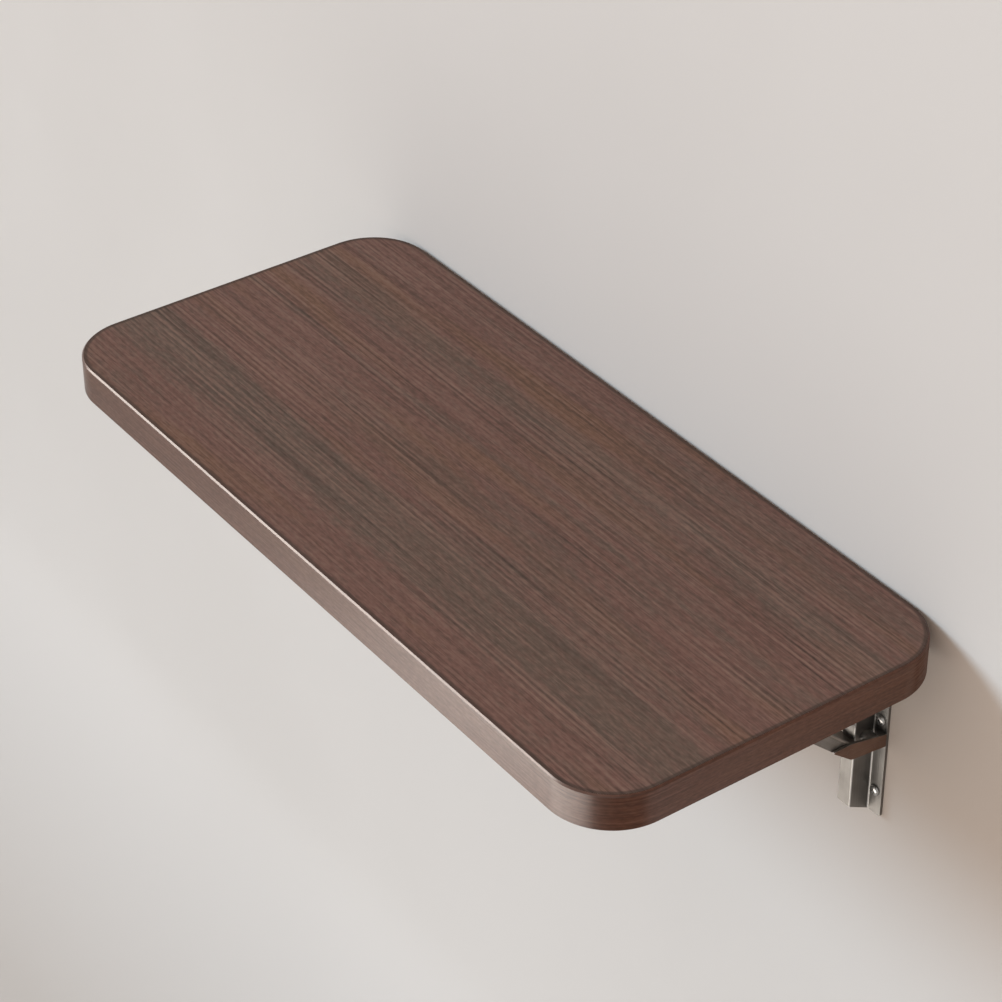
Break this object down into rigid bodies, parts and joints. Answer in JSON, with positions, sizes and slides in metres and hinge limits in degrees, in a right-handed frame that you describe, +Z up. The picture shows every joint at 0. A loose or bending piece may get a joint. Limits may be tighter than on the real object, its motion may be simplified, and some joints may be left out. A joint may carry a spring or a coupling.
{
  "type": "wall mounted drop leaf table",
  "caption": "Rounded wood-grain leaf on folding steel wall brackets; the leaf drops flat against the wall while slotted braces swing down with it.",
  "frame": {"origin": "on the wall plane, midway between the brackets and level with the middle row of wall screws", "axes": "+X along the wall, +Y into the wall, +Z up; the leaf reaches out towards -Y"},
  "size_m": [0.6, 0.31, 0.1764],
  "materials": {
    "core_board": "raw particle board",
    "walnut_laminate": "dark walnut grain, satin",
    "backing_laminate": "dark brown, matt",
    "walnut_edge_band": "dark walnut print, satin",
    "brushed_steel": "brushed stainless",
    "pin_steel": "turned steel",
    "spring_steel": "tempered spring strip",
    "plated_screw": "bright zinc plate",
    "nylon": "natural nylon"
  },
  "bodies": {
    "wall_frame": {"wall_rail_left": "brushed_steel", "wall_rail_right": "brushed_steel", "wall_screws_left": "plated_screw", "wall_screws_right": "plated_screw", "hinge_pin_left": "pin_steel", "hinge_pin_right": "pin_steel", "hinge_spacers_left": "pin_steel", "hinge_spacers_right": "pin_steel", "brace_fork_left": "brushed_steel", "brace_fork_right": "brushed_steel", "fork_pin_left": "pin_steel", "fork_pin_right": "pin_steel", "fork_spacers_left": "pin_steel", "fork_spacers_right": "pin_steel", "foot_pin_left": "pin_steel", "foot_pin_right": "pin_steel"},
    "leaf": {"core_board": "core_board", "top_laminate": "walnut_laminate", "under_laminate": "backing_laminate", "edge_band": "walnut_edge_band", "shelf_arm_left": "brushed_steel", "shelf_arm_right": "brushed_steel", "arm_screws_left": "plated_screw", "arm_screws_right": "plated_screw", "latch_spring_left": "spring_steel", "latch_spring_right": "spring_steel", "latch_screws_left": "plated_screw", "latch_screws_right": "plated_screw"},
    "left_brace": {"brace_left": "brushed_steel", "brace_washers_left": "nylon", "slide_pin_left": "pin_steel", "slide_bushes_left": "nylon"},
    "right_brace": {"brace_right": "brushed_steel", "brace_washers_right": "nylon", "slide_pin_right": "pin_steel", "slide_bushes_right": "nylon"}
  },
  "joints": [
    {"name": "leaf_fold", "type": "hinge", "parent": "wall_frame", "child": "leaf", "pos_m": [0, -0.008, 0.025], "axis": [1, 0, 0], "range_deg": [0, 90], "deforming": ["latch_spring_left", "latch_spring_right"]},
    {"name": "left_brace_fold", "type": "hinge", "parent": "wall_frame", "child": "left_brace", "pos_m": [-0.228, -0.032, -0.0082], "axis": [1, 0, 0], "range_deg": [0, 125]},
    {"name": "right_brace_fold", "type": "hinge", "parent": "wall_frame", "child": "right_brace", "pos_m": [0.228, -0.032, -0.0082], "axis": [1, 0, 0], "range_deg": [0, 125]}
  ],
  "couplings": [
    {"joint": "left_brace_fold", "follows": "leaf_fold", "ratio": 1.3888},
    {"joint": "right_brace_fold", "follows": "leaf_fold", "ratio": 1.3888}
  ]
}
